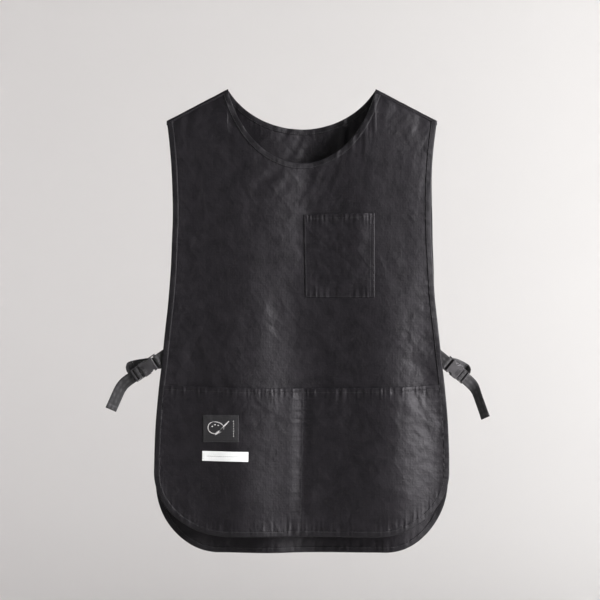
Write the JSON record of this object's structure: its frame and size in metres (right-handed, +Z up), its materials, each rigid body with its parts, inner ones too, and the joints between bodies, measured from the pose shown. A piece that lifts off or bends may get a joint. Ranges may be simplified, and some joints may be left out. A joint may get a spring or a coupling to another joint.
{
  "type": "artist smock apron",
  "caption": "Sleeveless over-the-head smock apron with open sides, a chest pocket, a wide lower pocket and side straps with release buckles.",
  "frame": {"origin": "on the centre line, midway between the panels, at the height of the neck ends of the shoulder seams, where the garment hangs", "axes": "+Z up, the front faces -Y, +X towards the wearer's left"},
  "size_m": [0.6285, 0.0645, 0.757],
  "materials": {
    "nylon": "fine plain-weave nylon with a soft sheen",
    "binding": "folded nylon tape",
    "webbing": "ribbed polyester webbing",
    "buckle_plastic": "moulded, satin",
    "woven_label": "damask woven",
    "pale_label": "coated label tape"
  },
  "bodies": {
    "back": {"back_panel": "nylon", "back_neck_binding": "binding", "back_edge_binding": "binding", "left_shoulder_seam": "nylon", "right_shoulder_seam": "nylon", "left_strap_anchor": "webbing", "right_strap_anchor": "webbing"},
    "front": {"front_panel": "nylon", "front_neck_binding": "binding", "front_edge_binding": "binding", "chest_pocket": "nylon", "lower_pocket": "nylon", "woven_label": "woven_label", "name_label": "pale_label", "left_buckle_tab": "webbing", "right_buckle_tab": "webbing", "left_buckle_socket": "buckle_plastic", "right_buckle_socket": "buckle_plastic"},
    "left_plug": {"left_buckle_plug": "buckle_plastic", "left_side_strap": "webbing"},
    "left_arm_a": {"left_latch_arm_a": "buckle_plastic"},
    "left_arm_b": {"left_latch_arm_b": "buckle_plastic"},
    "left_tail": {"left_strap_tail": "webbing"},
    "right_plug": {"right_buckle_plug": "buckle_plastic", "right_side_strap": "webbing"},
    "right_arm_a": {"right_latch_arm_a": "buckle_plastic"},
    "right_arm_b": {"right_latch_arm_b": "buckle_plastic"},
    "right_tail": {"right_strap_tail": "webbing"}
  },
  "joints": [
    {"name": "front_swing", "type": "hinge", "parent": "back", "child": "front", "pos_m": [0, 0, 0], "axis": [-1, 0, 0], "range_deg": [0, 6]},
    {"name": "left_release", "type": "slide", "parent": "front", "child": "left_plug", "axis": [0.6764, 0.4695, -0.5675], "range_m": [0, 0.02], "deforming": ["left_latch_arm_a", "left_latch_arm_b"]},
    {"name": "left_latch_squeeze", "type": "hinge", "parent": "left_plug", "child": "left_arm_a", "pos_m": [0.25992, -0.00163, -0.456], "axis": [0.3596, -0.8829, -0.3018], "range_deg": [0, 6], "stiffness_Nm_per_rad": 0.05},
    {"name": "left_latch_squeeze_b", "type": "hinge", "parent": "left_plug", "child": "left_arm_b", "pos_m": [0.25092, -0.00163, -0.46673], "axis": [-0.3596, 0.8829, 0.3018], "range_deg": [0, 6], "stiffness_Nm_per_rad": 0.05},
    {"name": "left_tail_swing", "type": "hinge", "parent": "left_plug", "child": "left_tail", "pos_m": [0.26644, 0.00602, -0.47062], "axis": [-0.6428, 0, -0.766], "range_deg": [0, 45]},
    {"name": "right_release", "type": "slide", "parent": "front", "child": "right_plug", "axis": [-0.821, 0.1392, -0.5538], "range_m": [0, 0.02], "deforming": ["right_latch_arm_a", "right_latch_arm_b"]},
    {"name": "right_latch_squeeze", "type": "hinge", "parent": "right_plug", "child": "right_arm_a", "pos_m": [-0.25559, -0.01174, -0.46375], "axis": [-0.1154, -0.9903, -0.0778], "range_deg": [0, 6], "stiffness_Nm_per_rad": 0.05},
    {"name": "right_latch_squeeze_b", "type": "hinge", "parent": "right_plug", "child": "right_arm_b", "pos_m": [-0.26342, -0.01174, -0.45214], "axis": [0.1154, 0.9903, 0.0778], "range_deg": [0, 6], "stiffness_Nm_per_rad": 0.05},
    {"name": "right_tail_swing", "type": "hinge", "parent": "right_plug", "child": "right_tail", "pos_m": [-0.27289, -0.00947, -0.46697], "axis": [-0.5592, 0, 0.829], "range_deg": [0, 45]}
  ],
  "couplings": [
    {"joint": "left_latch_squeeze_b", "follows": "left_latch_squeeze", "ratio": 1},
    {"joint": "right_latch_squeeze_b", "follows": "right_latch_squeeze", "ratio": 1}
  ]
}
